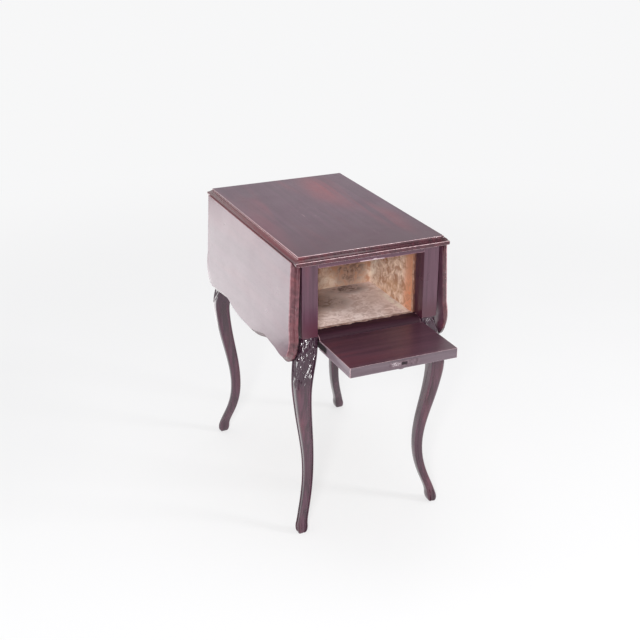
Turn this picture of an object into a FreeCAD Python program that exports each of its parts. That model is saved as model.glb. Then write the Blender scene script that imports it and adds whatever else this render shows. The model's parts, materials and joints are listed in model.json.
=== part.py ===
import FreeCAD, Part
import math
import os
import re

# Drop-leaf sewing table with a fall flap, in millimetres, +Z up, front towards -Y.
# Every piece is laid out from the middle of the top's plan, on the floor; the node's own
# placement then carries it to the origin, the middle of the whole table's footprint.

doc = FreeCAD.newDocument("sewing_table")
sheet = doc.addObject("Spreadsheet::Sheet", "dims")

SIZES = [
    ("table_height", 720.0, "floor to the top's surface"),
    ("top_width", 373.2, "fixed top, between its two hinge lines"),
    ("top_depth", 602.0, "fixed top, front edge to rear edge"),
    ("top_thick", 20.0, "fixed top"),
    ("field_inset", 12.3, "edge of the top to the edge of its flat field"),
    ("moulding_step", 2.3, "step beside the top's flat field"),
    ("cove_radius", 8.3, "hollow along the front and rear edges of the top"),
    ("joint_radius", 10.2, "round of the rule joint, about the hinge pin"),
    ("joint_step", 4.5, "square step above that round"),
    ("joint_gap", 0.4, "clearance between the round and the leaf's hollow"),
    ("leaf_thick", 19.0, "drop leaf"),
    ("leaf_reach", 264.0, "hinge pin to the leaf's lowest point"),
    ("leaf_length", 584.0, "drop leaf, along the hinge"),
    ("leaf_flare", 6.0, "how much each end of the leaf widens towards its corner"),
    ("leaf_tilt", 2.5, "degrees that a hanging leaf stands out, resting on the knees"),
    ("post_size", 40.0, "square top of a leg"),
    ("case_width", 354.0, "outer faces of the posts, left to right"),
    ("case_front", 288.0, "middle of the top to the posts' front faces"),
    ("case_rear", 268.0, "middle of the top to the posts' rear faces"),
    ("case_height", 214.0, "underside of the top to the bottom of the case"),
    ("knee_drop", 19.0, "height of the post's foot above the bottom of the case"),
    ("panel_thick", 13.0, "side and rear panels"),
    ("rear_inset", 6.0, "rear panel behind the rear posts' faces"),
    ("rail_height", 14.0, "rail over the opening"),
    ("rail_depth", 38.0, "rails over and under the opening, front to back"),
    ("floor_thick", 12.0, "floor board"),
    ("floor_drop", 2.5, "floor board below the top of the lower rail"),
    ("ledger_size", 12.0, "strips that carry the floor board"),
    ("box_wall", 5.5, "boards behind the lining, left and right"),
    ("box_depth", 228.0, "depth of the lined box"),
    ("back_thick", 12.0, "board at the back of the lined box"),
    ("lining_thick", 1.0, "paper-covered lining card"),
    ("flap_thick", 24.0, "fall flap"),
    ("flap_reveal", 4.0, "closed flap behind the posts' faces"),
    ("flap_edge", 22.0, "pivot to the flap's hinged edge"),
    ("flap_gap", 1.0, "clearance round the closed flap"),
    ("nose_gap", 0.5, "flap's hinged edge to the rounded rail"),
    ("plate_thick", 2.0, "pivot plates on the flap's ends"),
    ("plate_width", 16.0, "pivot plates"),
    ("plate_length", 40.0, "pivot plate along the flap's end"),
    ("pivot_radius", 2.5, "flap pivot pin"),
    ("pivot_seat", 9.0, "pivot pin inside the post"),
    ("pin_play", 0.05, "radial clearance of a pin in its plate"),
    ("hinge_at", 200.0, "leaf hinges, either side of the middle"),
    ("hinge_width", 50.0, "leaf hinge along its pin"),
    ("hinge_plate", 2.0, "leaf hinge plate thickness"),
    ("hinge_inner", 32.0, "fixed plate, from the pin"),
    ("hinge_outer", 46.0, "swinging plate, from the pin"),
    ("knuckle_radius", 3.5, "leaf hinge knuckle"),
    ("hinge_pin_radius", 1.5, "leaf hinge pin"),
    ("knuckle_gap", 0.3, "between neighbouring knuckles"),
    ("knuckle_room", 1.4, "room in the top round a knuckle"),
    ("swing_room", 0.6, "room in the top beside a hanging hinge plate"),
    ("swing_head", 1.9, "that room's top, below the pin"),
    ("web_reach", 3.0, "web of a leaf hinge past its knuckle"),
    ("web_lap", 0.5, "that web over its plate"),
    ("screw_radius", 1.6, "wood screw shank"),
    ("screw_head", 3.2, "wood screw head"),
    ("screw_sink", 1.4, "countersunk head height"),
    ("screw_length", 12.0, "plate screws"),
    ("long_screw", 26.0, "screws that hold the top down at the front"),
    ("rear_screw", 30.0, "screws that hold the top down at the rear"),
    ("top_screw_at", 90.42, "those screws, either side of the middle"),
    ("lock_width", 64.0, "lock case along the flap's edge"),
    ("lock_depth", 35.0, "lock case into the flap"),
    ("lock_thick", 12.0, "lock case"),
    ("face_width", 76.0, "lock face plate"),
    ("face_thick", 2.0, "lock face plate"),
    ("face_lip", 1.0, "lock face plate past the case, above and below"),
    ("lock_screw_at", 34.58, "face plate screws, either side of the middle"),
    ("bolt_width", 14.0, "lock bolt"),
    ("bolt_thick", 7.0, "lock bolt"),
    ("bolt_length", 20.0, "lock bolt"),
    ("bolt_travel", 8.0, "throw of the bolt"),
    ("bolt_play", 0.15, "clearance round the bolt"),
    ("bolt_room", 1.2, "room round the bolt in the strike plate and the rail"),
    ("bolt_bottom", 2.0, "room past the thrown bolt in the rail"),
    ("keyhole_in", 22.0, "keyhole from the flap's free edge"),
    ("keyhole_radius", 2.5, "keyhole"),
    ("boss_radius", 15.0, "turned keyhole boss"),
    ("boss_height", 9.0, "turned keyhole boss"),
    ("boss_base", 3.6, "height of the boss below its dome"),
    ("boss_top", 9.0, "radius at the top of its dome"),
    ("strike_width", 62.0, "strike plate"),
    ("strike_depth", 28.0, "strike plate"),
    ("strike_thick", 1.5, "strike plate"),
    ("strike_screw_at", 24.8, "strike plate screws, either side of the middle"),
    ("bracket_thick", 18.0, "fly bracket and its rail"),
    ("bracket_height", 52.0, "fly bracket at its knuckle"),
    ("bracket_tip", 16.0, "fly bracket at its tip"),
    ("bracket_length", 128.0, "fly bracket, pin to tip"),
    ("bracket_shoulder", 25.6, "full depth of the fly bracket, from its pin"),
    ("bracket_drop", 2.0, "bracket below the top's underside"),
    ("bracket_pin", 2.5, "bracket pin radius"),
    ("cleat_size", 20.0, "strip that ties the top to the rear panel"),
    ("over_cut", 1.0, "cutting tools past the face that they cut"),
]
for row, (name, value, note) in enumerate(SIZES, 1):
    sheet.set(f"A{row}", name)
    sheet.set(f"B{row}", str(value))
    sheet.setAlias(f"B{row}", name)
    sheet.set(f"C{row}", note)
doc.recompute()

# Places that follow from those sizes, as expressions on the sheet.
HINGE_X = "top_width / 2"
HINGE_Z = "(table_height - joint_step - joint_radius)"
UNDER_TOP = "(table_height - top_thick)"
CASE_BOTTOM = "(table_height - top_thick - case_height)"
POST_IN = "(case_width / 2 - post_size)"
PIVOT_Y = "(flap_reveal + flap_thick / 2 - case_front)"
PIVOT_Z = "(table_height - top_thick - case_height + flap_thick / 2)"
RAIL_UNDER = "(table_height - top_thick - rail_height)"
FLAP_LENGTH = f"({RAIL_UNDER} - flap_gap - {PIVOT_Z} - flap_edge)"
FLAP_BACK = f"({PIVOT_Y} - flap_edge)"
FLAP_FRONT = f"({FLAP_BACK} - {FLAP_LENGTH})"
RAIL_BACK = "(rail_depth - case_front)"
RAIL_TOP = f"({PIVOT_Z} + flap_edge - nose_gap)"
FLOOR_TOP = f"({RAIL_TOP} - floor_drop)"
BOX_BACK = f"({RAIL_BACK} + box_depth)"
ORIGIN_Y = f"(-{FLAP_FRONT} - top_depth / 2) / 2"

nodes = []


def on_sheet(text):
    """The expression with each size's name turned into its cell."""
    return re.sub(r"\b([a-z]+(?:_[a-z]+)+)\b", r"dims.\1", str(text))


def value(text):
    """The number that such an expression gives now."""
    names = {name: number for name, number, note in SIZES}
    text = re.sub(r"\b([a-z]+(?:_[a-z]+)+)\b", lambda found: str(names[found.group(1)]), str(text))
    total = FreeCAD.Units.Quantity(text.replace(" ", ""))
    return float(total)


def place(piece, at, turn=None):
    """Puts a piece at three expressions, turned by an axis and an angle."""
    if turn:
        piece.Placement.Rotation = FreeCAD.Rotation(FreeCAD.Vector(*turn[0]), turn[1])
    for axis, text in zip("xyz", at):
        piece.setExpression(f"Placement.Base.{axis}", on_sheet(text))
    return piece


def box(name, low, size):
    piece = doc.addObject("Part::Box", name)
    for side, text in zip(("Length", "Width", "Height"), size):
        piece.setExpression(side, on_sheet(text))
    return place(piece, low)


TURNS = {"x": ((0, 1, 0), 90), "y": ((1, 0, 0), -90), "z": None, "-x": ((0, 1, 0), -90),
         "-y": ((1, 0, 0), 90), "-z": ((1, 0, 0), 180)}


def rod(name, start, radius, length, along):
    """A cylinder from its start along an axis of the table."""
    piece = doc.addObject("Part::Cylinder", name)
    piece.setExpression("Radius", on_sheet(radius))
    piece.setExpression("Height", on_sheet(length))
    return place(piece, start, TURNS[along])


def cone(name, start, radius, end_radius, length, along):
    piece = doc.addObject("Part::Cone", name)
    piece.setExpression("Radius1", on_sheet(radius))
    piece.setExpression("Radius2", on_sheet(end_radius))
    piece.setExpression("Height", on_sheet(length))
    return place(piece, start, TURNS[along])


def fuse(name, *pieces):
    piece = doc.addObject("Part::MultiFuse", name)
    piece.Shapes = list(pieces)
    return piece


def cut(name, base, *tools):
    piece = doc.addObject("Part::Cut", name)
    piece.Base = base
    piece.Tool = tools[0] if len(tools) == 1 else fuse(f"{name}_tools", *tools)
    return piece


def common(name, first, second):
    piece = doc.addObject("Part::Common", name)
    piece.Base = first
    piece.Tool = second
    return piece


def group(name, pieces):
    piece = doc.addObject("Part::Compound", name)
    piece.Links = list(pieces)
    return piece


def node(name, piece, own_y="0"):
    """Makes a finished piece a node; own_y is the place that a plain primitive has itself."""
    piece.Label = name
    piece.setExpression("Placement.Base.y", on_sheet(f"{own_y} + {ORIGIN_Y}"))
    nodes.append(piece)
    return piece


def board(name, low, size):
    """A plain board as a node."""
    return node(name, box(f"{name}_board", low, size), low[1])


def screw(name, at, along, length="screw_length"):
    """A countersunk wood screw, from the middle of its head along an axis."""
    head = cone(f"{name}_head", at, "screw_head", "screw_radius", "screw_sink", along)
    shank = rod(f"{name}_shank", at, "screw_radius", length, along)
    return fuse(name, head, shank)


def prism(name, edges, along, length):
    """A solid with an outline of edges, drawn out along an axis."""
    face = doc.addObject("Part::Feature", f"{name}_outline")
    face.Shape = Part.Face(Part.Wire(Part.__sortEdges__(edges)))
    piece = doc.addObject("Part::Extrusion", name)
    piece.Base = face
    piece.DirMode = "Custom"
    piece.Dir = FreeCAD.Vector(*along)
    piece.setExpression("LengthFwd", on_sheet(length))
    piece.Solid = True
    return piece


def curve(points):
    """A smooth edge through a few points."""
    spline = Part.BSplineCurve()
    spline.interpolate([FreeCAD.Vector(*point) for point in points])
    return spline.toShape()


def line(start, end):
    return Part.LineSegment(FreeCAD.Vector(*start), FreeCAD.Vector(*end)).toShape()


# ---------------------------------------------------------------- legs

# Up the leg: share of the height below the post, and how far the leg's outer and inner
# faces stand out from the post's inner face, as shares of the post.
LEG_OUTER = [(0.0, 1.42), (0.06, 1.32), (0.14, 1.00), (0.24, 0.72), (0.36, 0.70), (0.48, 0.92),
             (0.60, 1.22), (0.70, 1.43), (0.78, 1.53), (0.87, 1.42), (0.95, 1.17), (1.0, 1.0)]
LEG_INNER = [(0.0, 0.88), (0.06, 0.78), (0.14, 0.46), (0.24, 0.17), (0.36, 0.10), (0.48, 0.22),
             (0.60, 0.42), (0.70, 0.55), (0.78, 0.57), (0.87, 0.36), (0.95, 0.08), (1.0, 0.0)]


def leg(name, side, end):
    """A sawn leg: the stock cut to the same curve from the front and from the side."""
    post = value("post_size")
    knee = value(f"{CASE_BOTTOM} + knee_drop")
    top = value(UNDER_TOP)
    inner_x = value(POST_IN)
    inner_y = value("case_front - post_size") if end < 0 else value("case_rear - post_size")

    def sawn(start, sign, turn):
        """The stock sawn to the leg's curve; turn puts a distance out and a height in space."""
        def at(share, height):
            return turn(sign * (start + share * post), height)
        outer = curve([at(share, z * knee) for z, share in LEG_OUTER])
        inner = curve([at(share, z * knee) for z, share in LEG_INNER])
        return [outer, inner, line(at(LEG_OUTER[0][1], 0), at(LEG_INNER[0][1], 0)),
                line(at(1, knee), at(1, top)), line(at(0, knee), at(0, top)), line(at(0, top), at(1, top))]

    far_y = end * (inner_y - post / 2)
    far_x = side * (inner_x - post / 2)
    front = prism(f"{name}_front", sawn(inner_x, side, lambda out, up: (out, far_y, up)),
                  (0, end, 0), "5 * post_size / 2")
    flank = prism(f"{name}_flank", sawn(inner_y, end, lambda out, up: (far_x, out, up)),
                  (side, 0, 0), "5 * post_size / 2")
    return common(f"{name}_sawn", front, flank)


for side, side_name in ((-1, "left"), (1, "right")):
    for end, end_name in ((-1, "front"), (1, "rear")):
        node(f"leg_{end_name}_{side_name}", leg(f"leg_{end_name}_{side_name}", side, end))

# ---------------------------------------------------------------- fixed top


def joint_round(side):
    """The round of the rule joint, kept above the underside of the top."""
    sign = "-" if side < 0 else ""
    barrel = rod(f"round_{side + 1}", (f"{sign}{HINGE_X}", "-top_depth / 2", HINGE_Z), "joint_radius",
                 "top_depth", "y")
    low_x = f"-{HINGE_X} - 2 * joint_radius" if side < 0 else f"{HINGE_X} - joint_radius"
    keep = box(f"round_keep_{side + 1}", (low_x, "-top_depth / 2", UNDER_TOP),
               ("3 * joint_radius", "top_depth", "top_thick"))
    return common(f"round_cut_{side + 1}", barrel, keep)


def edge_hollow(end):
    """What the moulding plane takes off the front or rear edge of the top."""
    tag = "front" if end < 0 else "rear"
    width = "top_width + 4 * joint_radius"
    low = "-top_width / 2 - 2 * joint_radius"
    edge = "-top_depth / 2" if end < 0 else "top_depth / 2 - field_inset"
    flat = box(f"{tag}_flat", (low, edge, "table_height - moulding_step"),
               (width, "field_inset", "top_thick"))
    ledge_edge = "-top_depth / 2" if end < 0 else "top_depth / 2 - field_inset + cove_radius"
    ledge = box(f"{tag}_ledge", (low, ledge_edge, "table_height - moulding_step - cove_radius"),
                (width, "field_inset - cove_radius", "top_thick"))
    middle = "-top_depth / 2 + field_inset - cove_radius" if end < 0 else ledge_edge
    hollow = rod(f"{tag}_cove", (low, middle, "table_height - moulding_step"), "cove_radius", width, "x")
    return fuse(f"{tag}_moulding", flat, ledge, hollow)


def hinge_mortise(side, at):
    """Room in the underside of the top for one hinge's knuckles and swinging plate."""
    sign = "-" if side < 0 else ""
    tag = f"mortise_{side + 1}_{'front' if at.startswith('-') else 'rear'}"
    room = "knuckle_gap"
    start = f"{at} - hinge_width / 2 - {room}"
    width = f"hinge_width + 2 * {room}"
    barrel = rod(f"{tag}_barrel", (f"{sign}{HINGE_X}", start, HINGE_Z), "knuckle_radius + knuckle_room",
                 width, "y")
    reach = "2 * joint_radius"
    inside = "(leaf_thick - joint_step - joint_radius + swing_room)"
    low_x = f"-{HINGE_X} - {reach}" if side < 0 else f"{HINGE_X} - {inside}"
    swing = box(f"{tag}_swing", (low_x, start, f"{UNDER_TOP} - over_cut"),
                (f"{reach} + {inside}", width, f"{HINGE_Z} - {UNDER_TOP} - swing_head + over_cut"))
    flat_x = f"-{HINGE_X}" if side < 0 else f"{HINGE_X} - hinge_inner"
    flat = box(f"{tag}_flat", (flat_x, f"{at} - hinge_width / 2", f"{UNDER_TOP} - over_cut"),
               ("hinge_inner", "hinge_width", "hinge_plate + over_cut"))
    return fuse(tag, barrel, swing, flat)


core = box("top_core", (f"-{HINGE_X}", "-top_depth / 2", UNDER_TOP), ("top_width", "top_depth", "top_thick"))
blank = fuse("top_blank", core, joint_round(-1), joint_round(1))
mortises = [hinge_mortise(side, at) for side in (-1, 1) for at in ("-hinge_at", "hinge_at")]
node("top_board", cut("top_cut", blank, edge_hollow(-1), edge_hollow(1), *mortises))

# ---------------------------------------------------------------- case

rail_low_x = f"-{POST_IN}"
INSIDE = f"(2 * {POST_IN})"
strike_low_y = f"({PIVOT_Y} - strike_depth / 2)"
rail = box("upper_rail_bar", (rail_low_x, "-case_front", RAIL_UNDER), (INSIDE, "rail_depth", "rail_height"))
strike_seat = box("strike_seat", ("-strike_width / 2", strike_low_y, f"{RAIL_UNDER} - over_cut"),
                  ("strike_width", "strike_depth", "strike_thick + over_cut"))
slot_low = ("-bolt_width / 2 - bolt_room", f"{PIVOT_Y} - bolt_thick / 2 - bolt_room",
            f"{RAIL_UNDER} - over_cut")
slot_plan = ("bolt_width + 2 * bolt_room", "bolt_thick + 2 * bolt_room")
bolt_mortise = box("bolt_mortise", slot_low, (*slot_plan, "bolt_travel + bolt_bottom + over_cut"))
node("front_top_rail", cut("upper_rail", rail, strike_seat, bolt_mortise))

strike = box("strike_bar", ("-strike_width / 2", strike_low_y, RAIL_UNDER),
             ("strike_width", "strike_depth", "strike_thick"))
strike_slot = box("strike_slot", slot_low, (*slot_plan, "strike_thick + 2 * over_cut"))
node("strike_plate", cut("strike_cut", strike, strike_slot))
node("strike_screws", group("strike_screw_pair", [
    screw(f"strike_screw_{tag}", (f"{sign}strike_screw_at", PIVOT_Y, RAIL_UNDER), "z")
    for tag, sign in (("left", "-"), ("right", ""))]))

# Lower rail: its front is rounded about the flap's pivot, so that the flap's edge rolls
# round it, and is flat below the pivot, where the open flap butts against it.
NOSE = "(flap_edge - nose_gap)"
rail_half = f"({POST_IN} - flap_gap - plate_thick - nose_gap)"
lower_front = box("lower_rail_front", (f"-{rail_half}", f"{PIVOT_Y} - {NOSE}", CASE_BOTTOM),
                  (f"2 * {rail_half}", NOSE, f"{PIVOT_Z} - {CASE_BOTTOM}"))
lower_mid = box("lower_rail_mid", (f"-{rail_half}", PIVOT_Y, CASE_BOTTOM),
                (f"2 * {rail_half}", f"{RAIL_BACK} - {PIVOT_Y}", f"{RAIL_TOP} - {CASE_BOTTOM}"))
nose_rod = rod("nose_rod", (f"-{rail_half}", PIVOT_Y, PIVOT_Z), NOSE, f"2 * {rail_half}", "x")
nose_keep = box("nose_keep", (f"-{rail_half}", f"{PIVOT_Y} - {NOSE}", PIVOT_Z),
                (f"2 * {rail_half}", NOSE, NOSE))
shoulder = "(pivot_radius + plate_width / 2)"
lower_end = box("lower_rail_end", (rail_low_x, f"{PIVOT_Y} + {shoulder}", CASE_BOTTOM),
                (INSIDE, f"{RAIL_BACK} - {PIVOT_Y} - {shoulder}", f"{RAIL_TOP} - {CASE_BOTTOM}"))
node("front_bottom_rail", fuse("lower_rail", lower_front, lower_mid, common("nose", nose_rod, nose_keep),
                               lower_end))

panel_y = "post_size - case_front"
panel_length = "case_front + case_rear - 2 * post_size"
board("side_panel_left", (f"-{POST_IN} - panel_thick", panel_y, CASE_BOTTOM),
      ("panel_thick", panel_length, "case_height"))
board("side_panel_right", (POST_IN, panel_y, CASE_BOTTOM), ("panel_thick", panel_length, "case_height"))
REAR_Y = "(case_rear - rear_inset - panel_thick)"
board("rear_panel", (rail_low_x, REAR_Y, CASE_BOTTOM), (INSIDE, "panel_thick", "case_height"))
board("floor_board", (rail_low_x, RAIL_BACK, f"{FLOOR_TOP} - floor_thick"),
      (INSIDE, f"{REAR_Y} - {RAIL_BACK}", "floor_thick"))
for name, low_x in (("left", rail_low_x), ("right", f"{POST_IN} - ledger_size")):
    board(f"floor_ledger_{name}", (low_x, panel_y, f"{FLOOR_TOP} - floor_thick - ledger_size"),
          ("ledger_size", panel_length, "ledger_size"))
board("rear_cleat", (rail_low_x, f"{REAR_Y} - cleat_size", f"{UNDER_TOP} - cleat_size"),
      (INSIDE, "cleat_size", "cleat_size"))
node("top_screws", group("top_screw_set", [
    screw(f"top_screw_{tag}_{end}", (f"{sign}top_screw_at", at, low), "z", length)
    for tag, sign in (("left", "-"), ("right", ""))
    for end, at, low, length in (
        ("front", "rail_depth / 2 - case_front", RAIL_UNDER, "long_screw"),
        ("rear", f"{REAR_Y} - cleat_size / 2", f"{UNDER_TOP} - cleat_size", "rear_screw"))]))

# ---------------------------------------------------------------- lined box

WALL_HEIGHT = f"({UNDER_TOP} - {FLOOR_TOP})"
board("box_side_left", (rail_low_x, RAIL_BACK, FLOOR_TOP), ("box_wall", "box_depth", WALL_HEIGHT))
board("box_side_right", (f"{POST_IN} - box_wall", RAIL_BACK, FLOOR_TOP),
      ("box_wall", "box_depth", WALL_HEIGHT))
board("box_back", (rail_low_x, BOX_BACK, FLOOR_TOP), (INSIDE, "back_thick", WALL_HEIGHT))
BOX_IN = f"({POST_IN} - box_wall)"
board("lining_floor", (f"-{BOX_IN}", RAIL_BACK, FLOOR_TOP), (f"2 * {BOX_IN}", "box_depth", "lining_thick"))
lining_z = f"({FLOOR_TOP} + lining_thick)"
lining_height = f"({WALL_HEIGHT} - lining_thick)"
board("lining_left", (f"-{BOX_IN}", RAIL_BACK, lining_z), ("lining_thick", "box_depth", lining_height))
board("lining_right", (f"{BOX_IN} - lining_thick", RAIL_BACK, lining_z),
      ("lining_thick", "box_depth", lining_height))
board("lining_back", (f"-{BOX_IN} + lining_thick", f"{BOX_BACK} - lining_thick", lining_z),
      (f"2 * {BOX_IN} - 2 * lining_thick", "lining_thick", lining_height))

# ---------------------------------------------------------------- fall flap, shown open

FLAP_HALF = f"({POST_IN} - flap_gap)"
PLATE_X = f"({FLAP_HALF} - plate_thick)"
slab = box("flap_slab", (f"-{FLAP_HALF}", FLAP_FRONT, f"{PIVOT_Z} - flap_thick / 2"),
           (f"2 * {FLAP_HALF}", FLAP_LENGTH, "flap_thick"))
seats = [box(f"plate_seat_{tag}", (low_x, f"{FLAP_BACK} - plate_length", f"{PIVOT_Z} - plate_width / 2"),
             ("plate_thick + over_cut", "plate_length + over_cut", "plate_width"))
         for tag, low_x in (("left", f"-{FLAP_HALF} - over_cut"), ("right", PLATE_X))]
case_seat = box("lock_case_seat",
                ("-lock_width / 2", f"{FLAP_FRONT} - over_cut", f"{PIVOT_Z} - lock_thick / 2"),
                ("lock_width", "lock_depth + over_cut", "lock_thick"))
face_seat = box("lock_face_seat",
                ("-face_width / 2", f"{FLAP_FRONT} - over_cut", f"{PIVOT_Z} - lock_thick / 2 - face_lip"),
                ("face_width", "face_thick + over_cut", "lock_thick + 2 * face_lip"))
KEY_Y = f"({FLAP_FRONT} + keyhole_in)"
flap_keyhole = rod("flap_keyhole", ("0", KEY_Y, f"{PIVOT_Z} - flap_thick / 2 - over_cut"), "keyhole_radius",
                   "flap_thick / 2", "z")
node("flap_panel", cut("flap_cut", slab, *seats, case_seat, face_seat, flap_keyhole))

plates = []
for tag, low_x in (("left", f"-{FLAP_HALF}"), ("right", PLATE_X)):
    strap = box(f"pivot_strap_{tag}", (low_x, f"{FLAP_BACK} - plate_length", f"{PIVOT_Z} - plate_width / 2"),
                ("plate_thick", "plate_length + flap_edge", "plate_width"))
    eye = rod(f"pivot_eye_{tag}", (low_x, PIVOT_Y, PIVOT_Z), "plate_width / 2", "plate_thick", "x")
    hole = rod(f"pivot_hole_{tag}", (f"{low_x} - over_cut", PIVOT_Y, PIVOT_Z), "pivot_radius + pin_play",
               "plate_thick + 2 * over_cut", "x")
    plates.append(cut(f"pivot_plate_{tag}", fuse(f"pivot_blank_{tag}", strap, eye), hole))
node("flap_pivot_plates", group("pivot_plate_pair", plates))
node("flap_pivot_pins", group("pivot_pin_pair", [
    rod("pivot_pin_left", (f"-{POST_IN} - pivot_seat", PIVOT_Y, PIVOT_Z), "pivot_radius",
        "pivot_seat + flap_gap + plate_thick", "x"),
    rod("pivot_pin_right", (f"{POST_IN} - flap_gap - plate_thick", PIVOT_Y, PIVOT_Z), "pivot_radius",
        "pivot_seat + flap_gap + plate_thick", "x")]))
PLATE_SCREWS = {"near": 0.25, "far": 0.75}  # shares of the pivot plate's length
node("flap_plate_screws", group("flap_plate_screw_set", [
    screw(f"plate_screw_{tag}_{spot}", (head_x, f"{FLAP_BACK} - plate_length * {share}", PIVOT_Z), along)
    for tag, head_x, along in (("left", f"-{FLAP_HALF}", "x"), ("right", FLAP_HALF, "-x"))
    for spot, share in PLATE_SCREWS.items()]))

bolt_x = "-bolt_width / 2"
bolt_z = f"{PIVOT_Z} - bolt_thick / 2"
lock_body = box("lock_body", ("-lock_width / 2", f"{FLAP_FRONT} + face_thick", f"{PIVOT_Z} - lock_thick / 2"),
                ("lock_width", "lock_depth - face_thick", "lock_thick"))
lock_face = box("lock_face", ("-face_width / 2", FLAP_FRONT, f"{PIVOT_Z} - lock_thick / 2 - face_lip"),
                ("face_width", "face_thick", "lock_thick + 2 * face_lip"))
bolt_way = box("bolt_way", (f"{bolt_x} - bolt_play", f"{FLAP_FRONT} - over_cut", f"{bolt_z} - bolt_play"),
               ("bolt_width + 2 * bolt_play", "bolt_length + 2 * over_cut", "bolt_thick + 2 * bolt_play"))
key_way = rod("lock_key_way", ("0", KEY_Y, f"{PIVOT_Z} - lock_thick / 2 - over_cut"), "keyhole_radius",
              "lock_thick / 2", "z")
node("lock_case", cut("lock_case_cut", fuse("lock_case_blank", lock_body, lock_face), bolt_way, key_way))
board("lock_bolt", (bolt_x, FLAP_FRONT, bolt_z), ("bolt_width", "bolt_length", "bolt_thick"))
node("lock_screws", group("lock_screw_pair", [
    screw(f"lock_screw_{tag}", (f"{sign}lock_screw_at", FLAP_FRONT, PIVOT_Z), "y")
    for tag, sign in (("left", "-"), ("right", ""))]))

boss_z = f"{PIVOT_Z} - flap_thick / 2"
boss_foot = rod("boss_foot", ("0", KEY_Y, boss_z), "boss_radius", "boss_base", "-z")
boss_dome = cone("boss_dome", ("0", KEY_Y, f"{boss_z} - boss_base"), "boss_radius", "boss_top",
                 "boss_height - boss_base", "-z")
boss_hole = rod("boss_hole", ("0", KEY_Y, f"{boss_z} + over_cut"), "keyhole_radius",
                "boss_height + 2 * over_cut", "-z")
node("keyhole_boss", cut("boss_cut", fuse("boss_blank", boss_foot, boss_dome), boss_hole))

# ---------------------------------------------------------------- drop leaves, shown hanging

# Half of the leaf's lower edge, from the middle to the corner: share of the half length,
# share of the reach. The two lines meet at a cusp.
LOBE_MIDDLE = [(0.0, 1.0), (0.19, 0.992), (0.31, 0.966), (0.40, 0.936), (0.48, 0.922)]
LOBE_CORNER = [(0.48, 0.922), (0.58, 0.938), (0.69, 0.949), (0.79, 0.967), (0.89, 0.95), (0.965, 0.87),
               (1.0, 0.74), (0.985, 0.60)]


def leaf_outline():
    """The leaf's outline, lying raised: across from the hinge pin, and along the hinge."""
    reach = value("leaf_reach")
    half = value("leaf_length / 2")
    wide = half + value("leaf_flare")
    start = value("joint_gap")
    edges = []
    for sign in (-1, 1):
        middle = [(share * reach, sign * out * wide, 0) for out, share in LOBE_MIDDLE]
        corner = [(share * reach, sign * out * wide, 0) for out, share in LOBE_CORNER]
        edges += [curve(middle), curve(corner), line(corner[-1], (start, sign * half, 0))]
    return edges + [line((start, -half, 0), (start, half, 0))]


def plate_low(at):
    return f"{at} - hinge_width / 2"


def leaf_hinge(tag, at, swinging):
    """One half of a hinge about its pin: two outer knuckles when fixed, the middle one when not."""
    third = "hinge_width / 3"
    reach = "hinge_outer" if swinging else "hinge_inner"
    under = "joint_step + joint_radius - leaf_thick" if swinging else "joint_step + joint_radius - top_thick"
    low_x = "0" if swinging else f"-{reach}"
    flat_low = plate_low(at)
    knuckles = []
    for index in (1,) if swinging else (0, 2):
        start = f"{flat_low} + {index} * {third} + knuckle_gap / 2"
        width = f"{third} - knuckle_gap"
        barrel = rod(f"{tag}_barrel_{index}", ("0", start, "0"), "knuckle_radius", width, "y")
        web = box(f"{tag}_web_{index}", ("0" if swinging else "-knuckle_radius - web_reach", start, under),
                  ("knuckle_radius + web_reach", width, "hinge_plate"))
        knuckles += [barrel, web]
        if swinging:
            knuckles.append(box(f"{tag}_neck_{index}", ("0", start, under),
                                ("knuckle_radius / 2", width, f"-({under})")))
    flat_x = "knuckle_radius + web_reach - web_lap" if swinging else low_x
    flat_width = f"{reach} - knuckle_radius - web_reach + web_lap"
    flat = box(f"{tag}_flat", (flat_x, flat_low, under), (flat_width, "hinge_width", "hinge_plate"))
    bore_radius = "hinge_pin_radius + pin_play" if swinging else "hinge_pin_radius"
    bore = rod(f"{tag}_bore", ("0", f"{flat_low} - over_cut", "0"), bore_radius,
               "hinge_width + 2 * over_cut", "y")
    return cut(f"{tag}_half", fuse(f"{tag}_blank", flat, *knuckles), bore)


def hang(name, piece, side, swinging):
    """Puts a piece made about the hinge pin at its side; a swinging one hangs down."""
    piece.Label = name
    down = FreeCAD.Rotation(FreeCAD.Vector(0, 1, 0), 90 - value("leaf_tilt") if swinging else 0)
    half_turn = FreeCAD.Rotation(FreeCAD.Vector(0, 0, 1), 180 if side < 0 else 0)
    piece.Placement.Rotation = half_turn.multiply(down)
    sign = "-" if side < 0 else ""
    place(piece, (f"{sign}{HINGE_X}", ORIGIN_Y, HINGE_Z))
    nodes.append(piece)


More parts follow.
